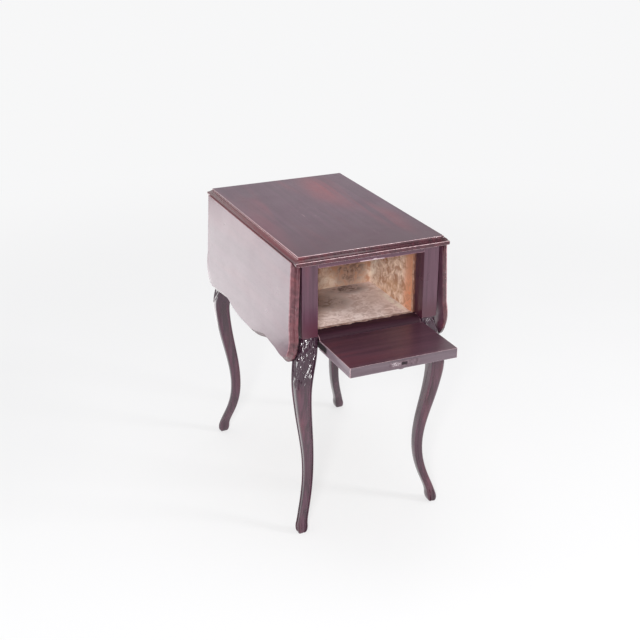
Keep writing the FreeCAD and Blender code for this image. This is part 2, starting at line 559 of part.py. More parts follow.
HINGE_SCREWS = ((0.5, -0.3), (0.5, 0.3), (0.8, 0.0))  # shares of a plate's reach and of its width
LEAF_UNDER = "(joint_step + joint_radius - leaf_thick)"
TOP_UNDER = "(joint_step + joint_radius - top_thick)"
for side, side_name in ((-1, "left"), (1, "right")):
    slab = prism(f"leaf_slab_{side_name}", leaf_outline(), (0, 0, 1), "leaf_thick")
    slab.setExpression("Placement.Base.z", on_sheet(LEAF_UNDER))
    hollow = rod(f"leaf_hollow_{side_name}", ("0", "-leaf_length", "0"), "joint_radius + joint_gap",
                 "2 * leaf_length", "y")
    under = box(f"leaf_under_{side_name}", ("-joint_radius", "-leaf_length", "-2 * leaf_thick"),
                ("2 * joint_radius + joint_gap", "2 * leaf_length", "2 * leaf_thick"))
    seats = [box(f"leaf_seat_{side_name}_{tag}", ("0", plate_low(at), f"{LEAF_UNDER} - over_cut"),
                 ("hinge_outer", "hinge_width", "hinge_plate + over_cut"))
             for tag, at in (("front", "-hinge_at"), ("rear", "hinge_at"))]
    hang(f"leaf_{side_name}", cut(f"leaf_cut_{side_name}", slab, hollow, under, *seats), side, True)
    for swinging, kind in ((False, "fixed"), (True, "swinging")):
        halves = [leaf_hinge(f"{kind}_{side_name}_{tag}", at, swinging)
                  for tag, at in (("front", "-hinge_at"), ("rear", "hinge_at"))]
        hang(f"leaf_hinge_{kind}_{side_name}", group(f"hinge_{kind}_{side_name}", halves), side, swinging)
    hang(f"leaf_hinge_pins_{side_name}", group(f"hinge_pins_{side_name}", [
        rod(f"hinge_pin_{side_name}_{tag}", ("0", plate_low(at), "0"), "hinge_pin_radius", "hinge_width", "y")
        for tag, at in (("front", "-hinge_at"), ("rear", "hinge_at"))]), side, False)
    for swinging, kind, reach, under_z in ((False, "fixed", "-hinge_inner", TOP_UNDER),
                                           (True, "swinging", "hinge_outer", LEAF_UNDER)):
        hang(f"leaf_screws_{kind}_{side_name}", group(f"screws_{kind}_{side_name}", [
            screw(f"screw_{kind}_{side_name}_{tag}_{index}",
                  (f"{reach} * {across}", f"{at} + hinge_width * {along}", under_z), "z")
            for tag, at in (("front", "-hinge_at"), ("rear", "hinge_at"))
            for index, (across, along) in enumerate(HINGE_SCREWS)]), side, swinging)

# ---------------------------------------------------------------- fly brackets, shown folded

PIN_X = f"({POST_IN} + panel_thick + bracket_thick / 2)"
BRACKET_TOP = f"({UNDER_TOP} - bracket_drop)"
KNUCKLE = "(bracket_thick / 2)"
for side, side_name in ((-1, "left"), (1, "right")):
    sign = "-" if side < 0 else ""
    low_x = f"-{POST_IN} - panel_thick - bracket_thick" if side < 0 else f"{POST_IN} + panel_thick"
    third = "(bracket_height / 3)"
    low_z = f"({BRACKET_TOP} - bracket_height)"
    knuckle = rod(f"rail_knuckle_{side_name}", (f"{sign}{PIN_X}", "0", low_z), KNUCKLE, "bracket_height", "z")
    bar = box(f"rail_bar_{side_name}", (low_x, "-bracket_length", low_z),
              ("bracket_thick", "bracket_length", "bracket_height"))
    gap = box(f"rail_notch_{side_name}",
              (f"{low_x} - over_cut", f"-{KNUCKLE} - knuckle_gap", f"{low_z} + {third} - knuckle_gap"),
              ("bracket_thick + 2 * over_cut", f"2 * {KNUCKLE} + 2 * knuckle_gap",
               f"{third} + 2 * knuckle_gap"))
    bore = rod(f"rail_bore_{side_name}", (f"{sign}{PIN_X}", "0", f"{low_z} - over_cut"), "bracket_pin",
               "bracket_height + 2 * over_cut", "z")
    rail_blank = fuse(f"rail_blank_{side_name}", bar, knuckle)
    node(f"bracket_rail_{side_name}", cut(f"rail_cut_{side_name}", rail_blank, gap, bore))
    eye = rod(f"bracket_eye_{side_name}", (f"{sign}{PIN_X}", "0", f"{low_z} + {third}"), KNUCKLE, third, "z")
    arm = box(f"bracket_arm_{side_name}", (low_x, f"{KNUCKLE} + knuckle_gap", low_z),
              ("bracket_thick", f"bracket_length - {KNUCKLE} - knuckle_gap", "bracket_height"))
    neck = box(f"bracket_neck_{side_name}", (low_x, "0", f"{low_z} + {third}"),
               ("bracket_thick", f"{KNUCKLE} + over_cut", third))
    over = value("over_cut")
    waste_far = value("bracket_length")
    top_z = value(f"{BRACKET_TOP} - bracket_tip")
    foot_z = value(f"{low_z}")
    waste_near = value("bracket_shoulder")
    waste_x = value(f"{low_x} - over_cut")
    waste = prism(f"bracket_waste_{side_name}", [
        curve([(waste_x, waste_near, foot_z),
               (waste_x, (waste_near + waste_far) / 2, (foot_z + 3 * top_z) / 4),
               (waste_x, waste_far, top_z)]),
        line((waste_x, waste_far, top_z), (waste_x, waste_far + over, foot_z - over)),
        line((waste_x, waste_far + over, foot_z - over), (waste_x, waste_near, foot_z))],
        (1, 0, 0), "bracket_thick + 2 * over_cut")
    hole = rod(f"bracket_bore_{side_name}", (f"{sign}{PIN_X}", "0", f"{low_z} - over_cut"),
               "bracket_pin + pin_play", "bracket_height + 2 * over_cut", "z")
    node(f"fly_bracket_{side_name}", cut(f"bracket_cut_{side_name}",
                                         fuse(f"bracket_blank_{side_name}", eye, arm, neck), waste, hole))
    pin = rod(f"bracket_pin_{side_name}_rod", (f"{sign}{PIN_X}", "0", low_z), "bracket_pin",
              "bracket_height", "z")
    node(f"bracket_pin_{side_name}", pin, "0")

# ---------------------------------------------------------------- checks and files

doc.recompute()
for thing in doc.Objects:
    if "Invalid" in thing.State or "Error" in thing.State:
        raise ValueError(f"{thing.Label} failed: {thing.State}")
for piece in nodes:
    if piece.Shape.isNull() or not piece.Shape.isValid() or not piece.Shape.Solids:
        raise ValueError(f"{piece.Label} has no valid solid")

os.makedirs("parts", exist_ok=True)
for piece in nodes:
    piece.Shape.exportStep(f"parts/{piece.Label}.step")
print(len(nodes), "nodes")
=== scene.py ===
import json
import math

import bmesh
import bpy
from mathutils import Matrix, Vector, noise

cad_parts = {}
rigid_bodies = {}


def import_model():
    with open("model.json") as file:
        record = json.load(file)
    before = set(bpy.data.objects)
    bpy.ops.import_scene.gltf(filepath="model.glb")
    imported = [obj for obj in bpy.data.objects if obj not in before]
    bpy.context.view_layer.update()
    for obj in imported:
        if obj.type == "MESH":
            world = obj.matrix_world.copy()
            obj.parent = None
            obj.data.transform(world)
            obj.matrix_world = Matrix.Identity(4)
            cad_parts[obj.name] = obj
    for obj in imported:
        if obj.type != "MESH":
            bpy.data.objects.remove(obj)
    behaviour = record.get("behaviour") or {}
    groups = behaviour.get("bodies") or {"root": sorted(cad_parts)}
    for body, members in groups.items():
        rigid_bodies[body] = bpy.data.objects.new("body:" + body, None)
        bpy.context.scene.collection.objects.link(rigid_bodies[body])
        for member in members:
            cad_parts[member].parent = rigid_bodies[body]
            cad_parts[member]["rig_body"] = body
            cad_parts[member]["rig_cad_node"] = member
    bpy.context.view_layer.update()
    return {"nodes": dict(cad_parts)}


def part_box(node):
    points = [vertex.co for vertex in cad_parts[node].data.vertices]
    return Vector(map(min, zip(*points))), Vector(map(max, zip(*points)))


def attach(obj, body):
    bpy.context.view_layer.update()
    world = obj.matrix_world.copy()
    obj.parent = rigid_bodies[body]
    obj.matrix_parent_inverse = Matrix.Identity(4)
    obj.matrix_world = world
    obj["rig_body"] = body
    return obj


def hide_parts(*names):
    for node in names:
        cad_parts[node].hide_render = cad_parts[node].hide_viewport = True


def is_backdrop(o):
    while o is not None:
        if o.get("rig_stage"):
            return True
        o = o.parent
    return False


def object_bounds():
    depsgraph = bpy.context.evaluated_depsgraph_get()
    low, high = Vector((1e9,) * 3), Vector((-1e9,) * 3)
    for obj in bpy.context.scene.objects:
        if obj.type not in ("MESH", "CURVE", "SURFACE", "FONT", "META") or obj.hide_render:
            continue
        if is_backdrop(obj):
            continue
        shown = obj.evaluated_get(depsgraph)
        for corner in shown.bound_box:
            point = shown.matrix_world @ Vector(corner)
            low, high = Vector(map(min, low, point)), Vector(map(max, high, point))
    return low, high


# Looks of the drop-leaf sewing table, in metres, +Z up, front towards -Y. The joinery, the hinges
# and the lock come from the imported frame; here its wood gets worked edges, carving and polish.

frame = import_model()
nodes = frame["nodes"]

MM = 0.001


# ---------------------------------------------------------------- finishes

def colour(red, green, blue):
    """A colour given as 0-255 values, made linear for a shader socket."""
    def linear(c):
        c /= 255
        return c / 12.92 if c <= 0.04045 else ((c + 0.055) / 1.055) ** 2.4
    return (linear(red), linear(green), linear(blue), 1.0)


class Flow:
    """An output socket, so that shader maths reads as arithmetic."""

    def __init__(self, finish, socket):
        self.finish, self.socket = finish, socket

    def _maths(self, operation, a, b):
        return self.finish.node("Math", {"operation": operation}, {0: a, 1: b})

    def __add__(self, other):
        return self._maths("ADD", self, other)

    __radd__ = __add__

    def __sub__(self, other):
        return self._maths("SUBTRACT", self, other)

    def __rsub__(self, other):
        return self._maths("SUBTRACT", other, self)

    def __mul__(self, other):
        return self._maths("MULTIPLY", self, other)

    __rmul__ = __mul__

    def clipped(self):
        return self.finish.node("Clamp", {}, {"Value": self})


class Finish:
    """One material: its node tree and its Principled shader."""

    def __init__(self, name, **constants):
        self.material = bpy.data.materials.new(name)
        self.material.use_nodes = True
        self.tree = self.material.node_tree
        self.shader = self.tree.nodes["Principled BSDF"]
        for socket, value in constants.items():
            self.shader.inputs[socket.replace("_", " ")].default_value = value
        self.place = self.node("TexCoord", output="Object")

    def node(self, kind, settings=None, sockets=None, output=0):
        """A new shader node with these settings and inputs; one of its outputs."""
        made = self.tree.nodes.new("ShaderNode" + kind)
        for key, value in (settings or {}).items():
            setattr(made, key, value)
        for key, value in (sockets or {}).items():
            if isinstance(value, Flow):
                self.tree.links.new(value.socket, made.inputs[key])
            else:
                made.inputs[key].default_value = value
        return Flow(self, made.outputs[output])

    def feed(self, socket, flow):
        """Drives one of the shader's sockets."""
        self.tree.links.new(flow.socket, self.shader.inputs[socket])

    def grain(self, scale, detail=4, distortion=0.0, roughness=0.5):
        """Noise with so many features a metre along each axis."""
        scaled = self.node("Mapping", {}, {"Vector": self.place, "Scale": scale})
        return self.node("TexNoise", {}, {"Vector": scaled, "Scale": 1.0, "Detail": detail,
                                          "Distortion": distortion, "Roughness": roughness})

    def between(self, flow, low, high):
        """0 below low, 1 above high, smooth between."""
        return self.node("MapRange", {"interpolation_type": "SMOOTHSTEP"},
                         {"Value": flow, "From Min": low, "From Max": high})

    def blend(self, share, first, second):
        """The first colour where the share is 0, the second where it is 1."""
        return self.node("Mix", {"data_type": "RGBA"}, {0: share, 6: first, 7: second}, output=2)

    def axis(self, letter):
        """A coordinate, in metres."""
        return self.node("SeparateXYZ", {}, {0: self.place}, output="XYZ".index(letter))

    def spot(self, centre, size):
        """1 at a point, falling to 0 over an ellipsoid about it."""
        shift = self.node("Mapping", {}, {"Vector": self.place, "Scale": [1 / s for s in size],
                                          "Location": [-c / s for c, s in zip(centre, size)]})
        away = self.node("VectorMath", {"operation": "LENGTH"}, {0: shift}, output="Value")
        return self.between(away, 1.0, 0.2)

    def bump(self, height, depth):
        """Fine relief, the depth in metres."""
        relief = {"Height": height, "Distance": depth, "Strength": 1.0}
        self.feed("Normal", self.node("Bump", {}, relief))


def along(axis, with_grain, across):
    """Feature counts with the grain running along one axis."""
    return [with_grain if letter == axis else across for letter in "XYZ"]


PORE_TONE, SCUFF_TONE = colour(30, 12, 16), colour(196, 160, 166)
RUBBED_TONE = colour(176, 138, 132)


def mahogany(name, axis, tones, rough=0.30, patches=(), wear=0.0, coat=0.35, faded=0.7, shade=None,
             scuffs=(), ior=1.5):
    """Polished mahogany in three tones, dark, body and red: streaks and pores along the grain, and
    red where the stain is thin or in a patch. A shade is (axis, low, high, tone at its high)."""
    dark, body, red = (colour(*tone) for tone in tones)
    finish = Finish(name, Coat_Weight=coat, Coat_Roughness=0.12, Coat_IOR=1.5, IOR=ior)
    streak = finish.grain(along(axis, 3.5, 90), 5, 0.4, 0.6)
    broad = finish.grain(along(axis, 1.6, 13), 3, 0.8)
    pores = finish.between(finish.grain(along(axis, 70, 1500), 2), 0.60, 0.74)
    wood = finish.blend(finish.between(streak, 0.34, 0.66), dark, body)
    thin = finish.between(broad, 0.50, 0.72) * faded
    for centre, size in patches:
        thin = thin + finish.spot(centre, size) * finish.between(broad, 0.30, 0.62)
    wood = finish.blend(thin.clipped(), wood, red)
    wood = finish.blend(pores * 0.45, wood, PORE_TONE)
    if scuffs:
        scratch = finish.between(finish.grain((420, 60, 60), 3, 1.5), 0.66, 0.74)
        for centre, size in scuffs:
            wood = finish.blend(finish.spot(centre, size) * scratch, wood, SCUFF_TONE)
    if shade:
        way, low, high, tone = shade
        wood = finish.blend(finish.between(finish.axis(way), low, high), wood, colour(*tone))
    if wear:
        rubbed = finish.between(finish.grain((260, 260, 260), 5, 0.0, 0.7), 0.60 - wear, 0.66)
        wood = finish.blend(rubbed, wood, RUBBED_TONE)
    finish.feed("Base Color", wood)
    smear = finish.grain((14, 14, 14), 4)
    finish.feed("Roughness", smear * 0.14 + (rough - 0.07) + pores * 0.12)
    finish.bump(streak * 0.5 - pores * 0.6 + finish.grain((45, 45, 45), 2) * 0.9, 0.00012)
    return finish.material


# Places on the top, as (centre, radii): where the stain has worn thin, and where it is scratched.
TOP_PATCHES = [((0.09, 0.22, 0.72), (0.09, 0.22, 0.05)), ((0.13, -0.02, 0.72), (0.05, 0.22, 0.05))]
TOP_SCUFFS = [((0.02, -0.12, 0.72), (0.07, 0.06, 0.05)), ((0.15, -0.13, 0.72), (0.05, 0.09, 0.05)),
              ((-0.04, 0.10, 0.72), (0.06, 0.10, 0.05))]

# The top's colour runs darker towards the front: painted shade.
top_polish = mahogany("mahogany_top", "Y", ((72, 38, 59), (84, 48, 70), (126, 48, 62)), 0.31,
                      TOP_PATCHES, coat=0.0, faded=0.3, shade=("Y", 0.08, -0.30, (64, 20, 42)),
                      scuffs=TOP_SCUFFS, ior=1.42)
# A darker copy for the mouldings of the top and the right leaf: painted shade.
edge_polish = mahogany("mahogany_moulding_painted_shade", "Y", ((54, 24, 33), (78, 36, 46), (108, 42, 50)), 0.26)
leaf_polish = mahogany("mahogany_leaf", "Y", ((90, 54, 70), (97, 60, 77), (106, 58, 74)), 0.30)
leg_polish = mahogany("mahogany_leg", "Z", ((50, 27, 39), (78, 45, 61), (104, 46, 56)), 0.15,
                      coat=0.6, faded=0.35, shade=("Z", 0.375, 0.425, (54, 31, 45)))
CASE_TONES = ((66, 38, 52), (84, 53, 68), (104, 46, 60))
post_polish = mahogany("mahogany_case_upright", "Z", CASE_TONES,
                       shade=("Z", 0.58, 0.525, (72, 33, 47)))
rail_polish = mahogany("mahogany_case_level", "X", CASE_TONES)
sill_polish = mahogany("mahogany_sill", "X", ((42, 20, 30), (56, 29, 40), (76, 34, 44)), 0.55,
                       coat=0.0, ior=1.25)
side_polish = mahogany("mahogany_case_side", "Y", ((80, 46, 62), (98, 60, 78), (122, 56, 68)))
flap_polish = mahogany("mahogany_flap", "X", ((64, 38, 50), (80, 50, 62), (100, 48, 58)), 0.36,
                       coat=0.1)
# The flap's far edge is greyer: painted sheen.
flap_edge_sheen_polish = mahogany("mahogany_flap_edge_painted_sheen", "X", ((78, 64, 72), (99, 85, 93), (94, 72, 80)),
                           0.4, coat=0.1, faded=0.3)
# The flap's left end is paler: painted light.
flap_left_end_lit_polish = mahogany("mahogany_flap_side_painted_light", "Y",
                            ((112, 96, 106), (134, 118, 128), (126, 104, 114)), 0.36)
# The leaf's step is painted pale: a painted highlight along the moulding.
step_highlight_polish = mahogany("mahogany_leaf_step_painted_highlight", "Y",
                       ((132, 92, 100), (168, 128, 134), (150, 98, 106)), 0.26)
# A paler, warmer copy for the left leaf's moulding: painted light.
lit_leaf_moulding_polish = mahogany("mahogany_leaf_moulding_painted_light", "Y",
                            ((72, 36, 44), (104, 60, 68), (124, 62, 68)), 0.26)
worn_arris = mahogany("mahogany_worn_arris", "Y",
                      ((120, 84, 98), (168, 132, 142), (176, 124, 130)), 0.36, wear=0.08)
# Pale arrises of the top and the flap: wear with a painted highlight.
arris_wear_and_highlight = mahogany("mahogany_bright_arris", "Y",
                        ((188, 152, 160), (240, 214, 218), (216, 172, 178)), 0.26, wear=0.08)


def softwood(name, late, early):
    """Plain unpolished pine of the inner boards."""
    finish = Finish(name, Roughness=0.75)
    rings = finish.grain((90, 4, 90), 4, 0.6)
    finish.feed("Base Color", finish.blend(finish.between(rings, 0.35, 0.68), late, early))
    finish.bump(rings, 0.0002)
    return finish.material


def metal(name, body, tarnish, rough, metallic, marks=60, scratches=()):
    """Old ironmongery: tarnished in blotches, rubbed brighter where it is handled."""
    finish = Finish(name)
    blotch = finish.between(finish.grain((marks, marks, marks), 5, 0.3, 0.6), 0.40, 0.66)
    fine = finish.grain((700, 700, 700), 3)
    shade = finish.blend(blotch, body, tarnish)
    for centre, size in scratches:
        bare = finish.between(finish.grain((260, 260, 900), 4, 1.0), 0.52, 0.60)
        shade = finish.blend(finish.spot(centre, size) * bare, shade, colour(232, 222, 226))
    finish.feed("Base Color", shade)
    finish.feed("Roughness", blotch * 0.2 + fine * 0.12 + (rough - 0.1))
    finish.feed("Metallic", metallic - blotch * (metallic * 0.4))
    finish.bump(fine + blotch * 0.5, 0.00006)
    return finish.material


def lining(name, axis, pale, brown, stain, spots=(), fibre=0.6):
    """Old lining paper: mottled and fibrous, browned and stained with age; the spots laid on
    include painted shadow.
    """
    finish = Finish(name, Roughness=0.9)
    mottle = finish.grain((55, 55, 55), 6, 0.8, 0.65)
    strands = finish.grain(along(axis, 45, 420), 3, 1.2, 0.6)
    cloud = finish.grain((11, 11, 11), 3, 0.4)
    paper = finish.blend(finish.between(mottle, 0.36, 0.66), brown, pale)
    paper = finish.blend(finish.between(strands, 0.50, 0.66) * fibre, paper, brown)
    paper = finish.blend(finish.between(cloud, 0.50, 0.72) * 0.5, paper, stain)
    for centre, size, shade in spots:
        patchy = 0.35 + 0.65 * finish.between(mottle, 0.35, 0.62)
        paper = finish.blend(finish.spot(centre, size) * patchy, paper, shade)
    finish.feed("Base Color", paper)
    finish.bump(strands + mottle * 0.7, 0.0006)
    return finish.material


pine = softwood("softwood_bare", colour(178, 142, 102), colour(206, 176, 134))
# A darker pine for the box sides.
pine_darker = softwood("softwood_darker", colour(84, 50, 44), colour(120, 76, 58))
iron = metal("iron_dark", colour(72, 66, 68), colour(46, 38, 38), 0.45, 0.8)
STAINED, TARNISHED = colour(112, 94, 102), colour(84, 66, 74)
plate_metal = metal("lock_plate_stained", STAINED, TARNISHED, 0.42, 0.35, 170)
face_metal = metal("lock_face_scratched", STAINED, TARNISHED, 0.42, 0.35, 170,
                   scratches=[((-0.022, -0.38, 0.499), (0.017, 0.01, 0.007))])
bolt_metal = metal("bolt_steel", colour(62, 50, 56), colour(34, 26, 30), 0.18, 0.7)
# The strike is pale: rubbed metal with a painted highlight.
strike_highlight_metal = metal("strike_plate_rubbed_painted_highlight", colour(188, 172, 178), colour(176, 144, 150), 0.35,
                     0.25, 90)

# Patches on the paper are (centre, radii, colour), darker or paler; some are painted shadow.
box_low, box_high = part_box("lining_floor")
wall_low, wall_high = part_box("lining_right")
back_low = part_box("lining_back")[0]
PALE, BROWN, GOLD = colour(246, 222, 202), colour(176, 130, 104), colour(226, 184, 146)
wall_paper = lining("lining_wall", "Z", PALE, BROWN, GOLD, [
    ((wall_low.x, wall_low.y + 0.01, wall_low.z + 0.03), (0.03, 0.055, 0.15),
     colour(220, 142, 102)),
    ((wall_low.x, wall_low.y + 0.01, wall_high.z - 0.04), (0.03, 0.05, 0.09), colour(190, 128, 96)),
    # painted shadow under the top rail
    ((wall_low.x, wall_low.y + 0.11, wall_high.z), (0.03, 0.25, 0.045), colour(140, 104, 80)),
    ((wall_low.x, wall_high.y, wall_low.z + 0.06), (0.03, 0.07, 0.10), colour(238, 226, 210))])
back_paper = lining("lining_back", "Z", PALE, BROWN, GOLD, [
    # browned paper, and painted shadow on the upper back wall
    ((0.070, back_low.y, 0.575), (0.090, 0.03, 0.12), colour(92, 64, 54)),
    # painted shadow under the top rail
    ((0.100, back_low.y, 0.66), (0.10, 0.03, 0.07), colour(128, 92, 76)),
    ((0.000, back_low.y, 0.535), (0.04, 0.03, 0.035), colour(226, 206, 188)),
    ((back_low.x + 0.03, back_low.y, back_low.z + 0.04), (0.05, 0.03, 0.05),
     colour(214, 196, 178))])
floor_paper = lining("lining_floor", "X", colour(254, 236, 230), colour(208, 180, 170),
                     colour(234, 212, 202), [
    ((0.050, 0.035, box_high.z), (0.085, 0.055, 0.02), colour(104, 82, 76)),
    ((-0.030, -0.030, box_high.z), (0.09, 0.08, 0.02), colour(146, 122, 112)),
    ((box_low.x + 0.02, box_low.y + 0.12, box_high.z), (0.07, 0.09, 0.02), colour(186, 162, 150)),
    ((box_high.x - 0.01, box_low.y + 0.08, box_high.z), (0.015, 0.12, 0.02),
     colour(244, 232, 218))], 0.35)


# ---------------------------------------------------------------- working by hand

DOUBLED = 0.005 * MM        # CAD corners closer than this are one
FLAT_ANGLE = 0.6            # degrees between CAD triangles of one flat face
SLIVER = 0.04 * MM
SMALLEST_ISLAND = 5         # faces
CRISP_ANGLE = 35            # degrees, from which an edge is an arris


def only(*pieces):
    """Selects just these pieces, the last one active."""
    bpy.ops.object.select_all(action="DESELECT")
    for piece in pieces:
        piece.select_set(True)
    bpy.context.view_layer.objects.active = pieces[-1]


def merged_copy(node):
    """A copy of a CAD node with its triangles joined up and its flat faces made whole."""
    only(nodes[node])
    bpy.ops.object.duplicate()
    piece = bpy.context.active_object
    del piece["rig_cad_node"]
    piece.parent = None
    bpy.ops.object.mode_set(mode="EDIT")
    bpy.ops.mesh.select_all(action="SELECT")
    bpy.ops.mesh.remove_doubles(threshold=DOUBLED)
    bpy.ops.mesh.dissolve_limited(angle_limit=math.radians(FLAT_ANGLE))
    bpy.ops.object.mode_set(mode="OBJECT")
    return piece


def paint(piece, *finishes):
    """Gives a piece these finishes, in the order of its material slots."""
    piece.data.materials.clear()
    for finish in finishes:
        piece.data.materials.append(finish)


def apply(piece, kind, **settings):
    """Adds a modifier with these settings and applies it."""
    only(piece)
    modifier = piece.modifiers.new(kind.lower(), kind)
    for key, value in settings.items():
        setattr(modifier, key, value)
    bpy.ops.object.modifier_apply(modifier=modifier.name)


def drop_slivers(piece):
    """Takes out doubled points, faces of no area and islands too small to be part of the piece."""
    only(piece)
    bpy.ops.object.mode_set(mode="EDIT")
    bpy.ops.mesh.select_all(action="SELECT")
    bpy.ops.mesh.remove_doubles(threshold=SLIVER)
    bpy.ops.mesh.dissolve_degenerate(threshold=SLIVER)
    bpy.ops.object.mode_set(mode="OBJECT")
    shell = bmesh.new()
    shell.from_mesh(piece.data)
    unseen = set(shell.faces)
    while unseen:
        island, reached = set(), [unseen.pop()]
        while reached:
            face = reached.pop()
            island.add(face)
            for edge in face.edges:
                for near in edge.link_faces:
                    if near in unseen:
                        unseen.discard(near)
                        reached.append(near)
        if len(island) < SMALLEST_ISLAND:
            bmesh.ops.delete(shell, geom=list(island), context="FACES")
            unseen = {face for face in unseen if face.is_valid}
    shell.to_mesh(piece.data)
    shell.free()


def drop_folded_faces(piece):
    """Cuts the faces into triangles, and takes out pairs that lie back to back on the same corners
    and those that hang by one edge."""
    apply(piece, "TRIANGULATE", min_vertices=4)
    drop_slivers(piece)
    apply(piece, "TRIANGULATE", min_vertices=4)
    shell = bmesh.new()
    shell.from_mesh(piece.data)
    bare = [edge for edge in shell.edges if not edge.link_faces]
    bmesh.ops.delete(shell, geom=bare, context="EDGES")
    found = {}
    for face in shell.faces:
        found.setdefault(frozenset(vertex.index for vertex in face.verts), []).append(face)
    folded = [face for faces in found.values() if len(faces) > 1 for face in faces]
    bmesh.ops.delete(shell, geom=folded, context="FACES")
    hanging = [face for face in shell.faces
               if sum(len(edge.link_faces) == 1 for edge in face.edges) > 1]
    bmesh.ops.delete(shell, geom=hanging, context="FACES")
    shell.to_mesh(piece.data)
    shell.free()


def round_arrises(piece, width, worn=False, least=0.0):
    """Rubs down the arrises of at least some length; if worn, they take the second finish: wear and
    any painted highlight.
    """
    shell = bmesh.new()
    shell.from_mesh(piece.data)
    layers = shell.edges.layers.float
    weight = layers.get("bevel_weight_edge") or layers.new("bevel_weight_edge")
    for edge in shell.edges:
        sharp = len(edge.link_faces) == 2 and edge.calc_face_angle(0.0) > math.radians(CRISP_ANGLE)
        edge[weight] = 1.0 if sharp and edge.calc_length() >= least else 0.0
    shell.to_mesh(piece.data)
    shell.free()
    apply(piece, "BEVEL", width=width, segments=2, limit_method="WEIGHT",
          material=1 if worn else -1)
    drop_slivers(piece)
    soften(piece)


def soften(piece, angle=CRISP_ANGLE):
    """Smooth shading that keeps the flats flat and the arrises crisp."""
    only(piece)
    bpy.ops.object.shade_smooth_by_angle(angle=math.radians(angle))
    apply(piece, "WEIGHTED_NORMAL", keep_sharp=True, weight=80)


def fit(piece, name, body, slot, *stands_for):
    """Names a finished piece and lets it ride in place of the CAD nodes it stands for."""
    piece.name = piece.data.name = name
    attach(piece, body)
    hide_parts(*stands_for)


def body_of(node):
    return nodes[node]["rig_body"]


def worked(node, slot, width, *finishes, worn=False, least=0.0):
    """A CAD board with its arrises rubbed down; the width and the least length are in mm."""
    piece = merged_copy(node)
    paint(piece, *finishes)
    round_arrises(piece, width * MM, worn, least=least * MM)
    fit(piece, node + "_worked", body_of(node), slot, node)
    return piece


# ---------------------------------------------------------------- legs

def plan_at(node, height):
    """The plan box of a CAD node, cut at one height: low x, high x, low y, high y."""
    mesh = nodes[node].data
    xs, ys = [], []
    for edge in mesh.edges:
        a, b = (mesh.vertices[i].co for i in edge.vertices)
        if min(a.z, b.z) <= height <= max(a.z, b.z) and b.z - a.z:
            cut = a.lerp(b, (height - a.z) / (b.z - a.z))
            xs.append(cut.x)
            ys.append(cut.y)
    return min(xs), max(xs), min(ys), max(ys)


# Carving strokes on one face of the knee, mirrored to the other: points as (mm round from the
# corner, mm above the datum), the widths at the two ends in mm, and the share of the ground's depth
# that the stroke stands up.
KNEE_STROKES = [
    ([(5, -8), (7, 2), (14, 9), (22, 6), (27, -3), (25, -10)], 2.2, 1.8, 1.0),
    ([(16, 0), (16, -13)], 2.6, 1.2, 0.8),
    ([(12, -1), (8, -13)], 2.0, 1.0, 0.7),
    ([(20, -1), (25, -12)], 2.0, 1.0, 0.7),
    ([(30, -12), (35, -20), (36, -32), (33, -43), (27, -48), (22, -45), (22, -39), (26, -38)],
     2.6, 1.6, 1.0),
    ([(28, -16), (21, -19), (15, -26), (14, -34), (18, -39)], 2.2, 1.4, 0.9),
    ([(25, -26)], 4.2, 4.2, 1.0),
    ([(25, -42)], 2.6, 2.6, 1.0),
    ([(0, -4), (0, -60), (0, -114)], 3.4, 0.9, 1.0),
    ([(2, -14), (7, -26), (9, -38), (7, -46)], 2.8, 1.2, 0.85),
    ([(2, -34), (8, -48), (13, -60), (12, -69)], 3.0, 1.1, 0.9),
    ([(2, -54), (7, -68), (11, -82), (9, -92)], 2.8, 1.0, 0.85),
    ([(1, -74), (5, -88), (7, -100), (5, -108)], 2.4, 0.8, 0.8),
    ([(30, -48), (26, -60), (21, -74), (15, -84)], 2.6, 0.9, 0.9),
    ([(35, -44), (34, -58), (31, -72), (26, -84)], 2.4, 0.8, 0.8),
]
KNEE_DATUM = 0.506
CARVED_TOP, CARVED_FOOT = 0.520, 0.386
GROUND_DEPTH = 2.6 * MM
# The cut-back ground, in mm above the datum or round from the corner. It is lost towards the top,
# at a lower edge that rises in waves away from the corner, and beside the face's inner edge.
GROUND_TOP, GROUND_FULL = 12, 7
LOWER_EDGE, LOWER_RISE, LOWER_WAVE, LOWER_TURNS, LOWER_SOFT = -116, 0.95, 3.0, 0.42, (-3, 9)
GROUND_SIDE, GROUND_SIDE_FULL = 39, 36


def stroke_height(strokes, across, above):
    """How high the strokes stand at a point, both in mm."""
    height = 0.0
    for points, wide, narrow, rise in strokes:
        runs = list(zip(points, points[1:])) or [(points[0], points[0])]
        for index, ((ax, az), (bx, bz)) in enumerate(runs):
            dx, dz = bx - ax, bz - az
            length = dx * dx + dz * dz      # squared
            reach = ((across - ax) * dx + (above - az) * dz) / length if length else 0.0
            share = max(0.0, min(1.0, reach))
            width = wide + (narrow - wide) * (index + share) / len(runs)
            away = math.hypot(across - ax - share * dx, above - az - share * dz) / width
            if away < 1:
                height = max(height, rise * math.sqrt(1 - away * away))
    return height


def smooth(low, high, x):
    """0 at low, 1 at high, eased between."""
    t = max(0.0, min(1.0, (x - low) / (high - low)))
    return t * t * (3 - 2 * t)


def carved_depth(across, height):
    """How far the knee is cut back below the sawn surface, in metres."""
    above = (height - KNEE_DATUM) / MM
    side = abs(across) / MM
    lower = LOWER_EDGE + LOWER_RISE * side + LOWER_WAVE * math.sin(side * LOWER_TURNS)
    start, full = LOWER_SOFT
    ground = (smooth(GROUND_TOP, GROUND_FULL, above) * smooth(lower + start, lower + full, above)
              * smooth(GROUND_SIDE, GROUND_SIDE_FULL, side))
    return GROUND_DEPTH * ground * (1 - stroke_height(KNEE_STROKES, side, above))


